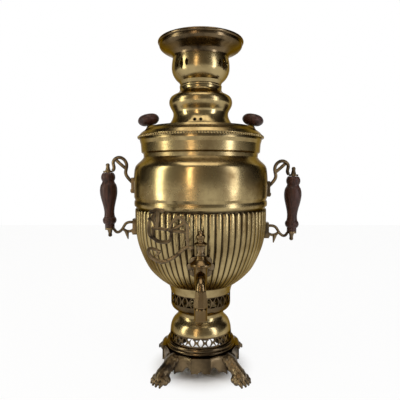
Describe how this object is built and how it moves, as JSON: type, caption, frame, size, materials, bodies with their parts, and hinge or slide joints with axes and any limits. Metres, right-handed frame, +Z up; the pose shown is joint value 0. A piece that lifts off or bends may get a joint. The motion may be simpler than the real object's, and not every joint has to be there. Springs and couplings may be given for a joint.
{
  "type": "samovar",
  "caption": "Charcoal samovar with a fluted round body, paw feet, pierced galleries, turned side grips, front tap with a scroll key, lid and a teapot crown.",
  "frame": {"origin": "on the ground, under the middle of the round body", "axes": "+Z up along the body's axis, -Y towards the tap at the front, +X towards the grip on the viewer's right"},
  "size_m": [0.312, 0.2567, 0.5],
  "materials": {
    "sheet_brass": "aged polished sheet brass",
    "tap_brass": "worn cast brass",
    "cast_brass_dark": "darkened cast brass",
    "walnut": "turned, oiled dark walnut",
    "steel": "plain steel",
    "grate_iron": "cast",
    "rubber_seal": "moulded"
  },
  "bodies": {
    "root": {"base_ring": "sheet_brass", "body_shell": "sheet_brass", "bowl": "sheet_brass", "bowl_collar": "sheet_brass", "bowl_floor": "sheet_brass", "fire_grate": "grate_iron", "fire_tube": "sheet_brass", "foot_back_left": "cast_brass_dark", "foot_back_right": "cast_brass_dark", "foot_front_left": "cast_brass_dark", "foot_front_right": "cast_brass_dark", "foot_screws": "steel", "handle_bottom_nut_left": "cast_brass_dark", "handle_bottom_nut_right": "cast_brass_dark", "handle_lower_bracket_left": "cast_brass_dark", "handle_lower_bracket_right": "cast_brass_dark", "handle_rivets": "cast_brass_dark", "handle_rod_left": "steel", "handle_rod_right": "steel", "handle_top_nut_left": "cast_brass_dark", "handle_top_nut_right": "cast_brass_dark", "handle_upper_bracket_left": "cast_brass_dark", "handle_upper_bracket_right": "cast_brass_dark", "lower_gallery": "sheet_brass", "pedestal": "sheet_brass", "plinth": "sheet_brass", "seam_band": "sheet_brass", "tap_body": "tap_brass", "tap_rosette": "tap_brass", "tap_shank_nut": "tap_brass", "tap_washer": "rubber_seal", "upper_gallery": "sheet_brass"},
    "tap_key": {"tap_plug": "tap_brass", "tap_bonnet": "tap_brass", "tap_handle": "tap_brass", "tap_finial": "tap_brass", "plug_washer": "steel", "plug_nut": "sheet_brass"},
    "grip_left": {"handle_grip_left": "walnut"},
    "grip_right": {"handle_grip_right": "walnut"},
    "lid": {"lid_beading": "sheet_brass", "lid_dome": "sheet_brass", "lid_knob_left": "walnut", "lid_knob_nuts": "sheet_brass", "lid_knob_right": "walnut", "lid_knob_stem_left": "sheet_brass", "lid_knob_stem_right": "sheet_brass", "lid_plate": "sheet_brass"},
    "crown": {"crown_collar": "sheet_brass", "crown_cup": "sheet_brass", "crown_flare": "sheet_brass", "crown_rim": "sheet_brass"}
  },
  "joints": [
    {"name": "lid_lift", "type": "slide", "parent": "root", "child": "lid", "axis": [0, 0, 1], "range_m": [0, 0.16]},
    {"name": "crown_lift", "type": "slide", "parent": "lid", "child": "crown", "axis": [0, 0, 1], "range_m": [0, 0.1]},
    {"name": "tap_turn", "type": "hinge", "parent": "root", "child": "tap_key", "pos_m": [0, -0.116, 0.172], "axis": [0, 0, 1], "range_deg": [0, 90]},
    {"name": "grip_left_spin", "type": "hinge", "parent": "root", "child": "grip_left", "pos_m": [-0.1422, 0, 0.2545], "axis": [-0.0349, 0, 0.9994], "continuous": true},
    {"name": "grip_right_spin", "type": "hinge", "parent": "root", "child": "grip_right", "pos_m": [0.1422, 0, 0.249], "axis": [0.0349, 0, 0.9994], "continuous": true}
  ]
}
